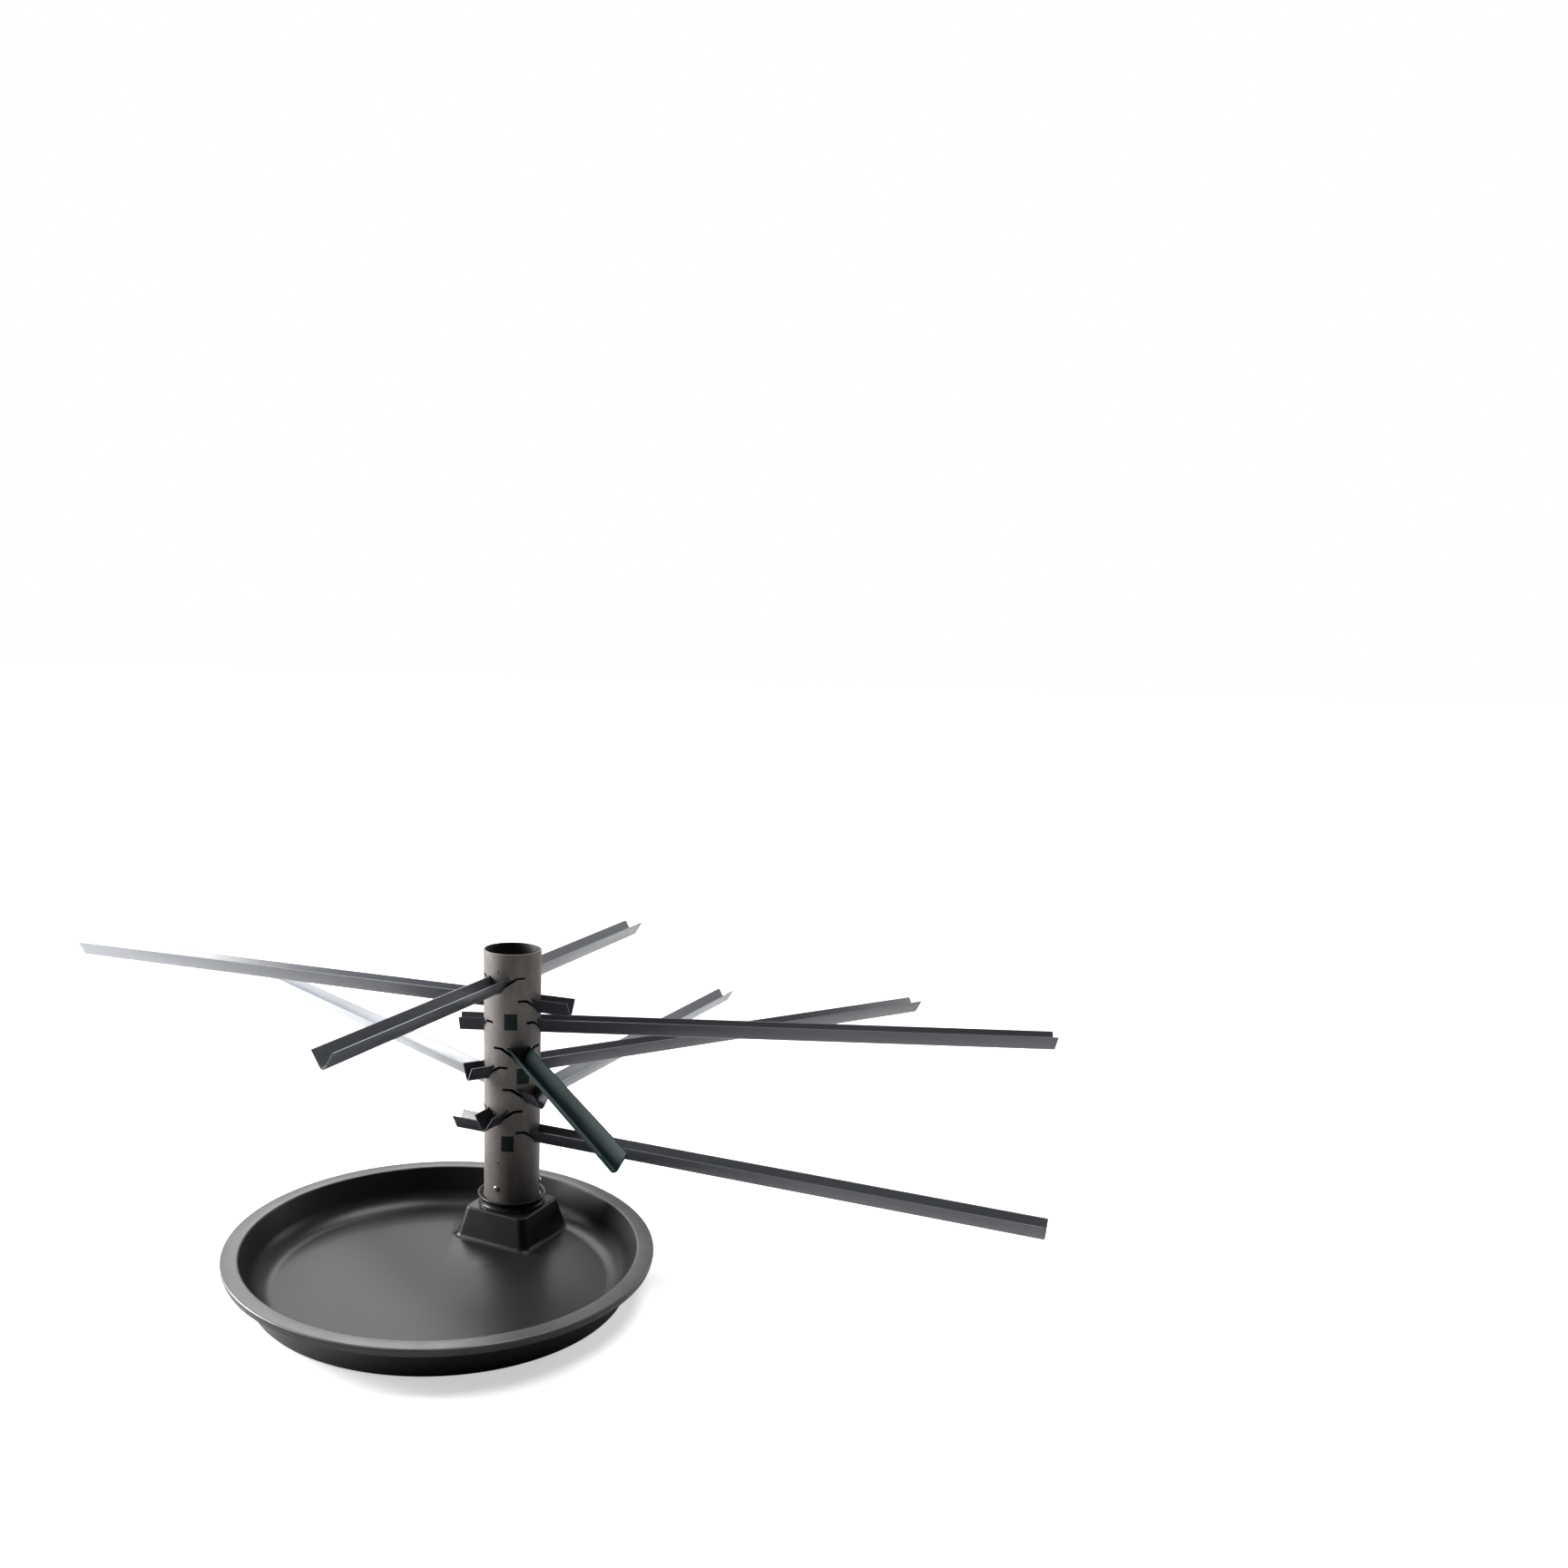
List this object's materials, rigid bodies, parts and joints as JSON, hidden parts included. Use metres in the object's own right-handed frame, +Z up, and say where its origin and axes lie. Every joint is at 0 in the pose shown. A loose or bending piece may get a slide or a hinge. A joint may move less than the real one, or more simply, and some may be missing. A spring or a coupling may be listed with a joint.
{
  "type": "turning arm stand with basin",
  "caption": "Low free-standing post with level V-channel arms slid through slits in a turning round mast, set in the off-centre foot of a shallow round drip basin.",
  "frame": {"origin": "on the mast's axis at floor level, on the underside of the foot's cover", "axes": "+Z up along the mast; the basin's centre lies 162.3 mm from the mast at 242.6 degrees from +X, counter-clockwise seen from above; arm_3's long side points close to +X"},
  "size_m": [1.3678, 1.05, 0.4],
  "materials": {
    "basin_black": "soft-sheen moulded, dark brownish black",
    "socket_black": "moulded, satin black",
    "mast_grey": "matt warm grey pipe with a faint speckle",
    "arm_slate": "satin dark slate grey, drawn along its length",
    "arm_green": "satin very dark green",
    "marker_green": "satin dark green",
    "plated_steel": "zinc plated",
    "acetal_black": "black acetal"
  },
  "bodies": {
    "base": {"basin": "basin_black", "mast_socket": "socket_black", "socket_bolts": "plated_steel", "bolt_washers": "plated_steel", "backing_plate": "plated_steel", "base_cover": "socket_black", "cover_screws": "plated_steel", "thrust_washer": "acetal_black"},
    "mast": {"mast_tube": "mast_grey", "mast_collar": "socket_black", "swivel_bush": "acetal_black", "mast_screws": "plated_steel", "upper_marker": "marker_green", "middle_marker": "marker_green", "lower_marker": "marker_green"},
    "arm_1": {"arm_1": "arm_slate"},
    "arm_2": {"arm_2": "arm_slate"},
    "arm_3": {"arm_3": "arm_slate"},
    "arm_4": {"arm_4": "arm_green"},
    "arm_5": {"arm_5": "arm_slate"},
    "arm_6": {"arm_6": "arm_slate"},
    "arm_7": {"arm_7": "arm_slate"},
    "arm_8": {"arm_8": "arm_slate"}
  },
  "joints": [
    {"name": "mast_turn", "type": "hinge", "parent": "base", "child": "mast", "pos_m": [0, 0, 0.2], "axis": [0, 0, 1], "continuous": true},
    {"name": "arm_1_slide", "type": "slide", "parent": "mast", "child": "arm_1", "axis": [-0.4083, -0.9128, 0], "range_m": [-0.349, 0.329]},
    {"name": "arm_2_slide", "type": "slide", "parent": "mast", "child": "arm_2", "axis": [-0.9403, 0.3404, 0], "range_m": [-0.645, 0.033]},
    {"name": "arm_3_slide", "type": "slide", "parent": "mast", "child": "arm_3", "axis": [0.9998, -0.0209, 0], "range_m": [-0.659, 0.019]},
    {"name": "arm_4_slide", "type": "slide", "parent": "mast", "child": "arm_4", "axis": [0.342, -0.9397, 0], "range_m": [-0.369, 0.018]},
    {"name": "arm_5_slide", "type": "slide", "parent": "mast", "child": "arm_5", "axis": [0.8517, 0.524, 0], "range_m": [-0.663, 0.015]},
    {"name": "arm_6_slide", "type": "slide", "parent": "mast", "child": "arm_6", "axis": [-0.6468, 0.7627, 0], "range_m": [-0.661, 0.017]},
    {"name": "arm_7_slide", "type": "slide", "parent": "mast", "child": "arm_7", "axis": [0.4555, 0.8902, 0], "range_m": [-0.66, 0.018]},
    {"name": "arm_8_slide", "type": "slide", "parent": "mast", "child": "arm_8", "axis": [0.9171, -0.3987, 0], "range_m": [-0.644, 0.034]}
  ]
}
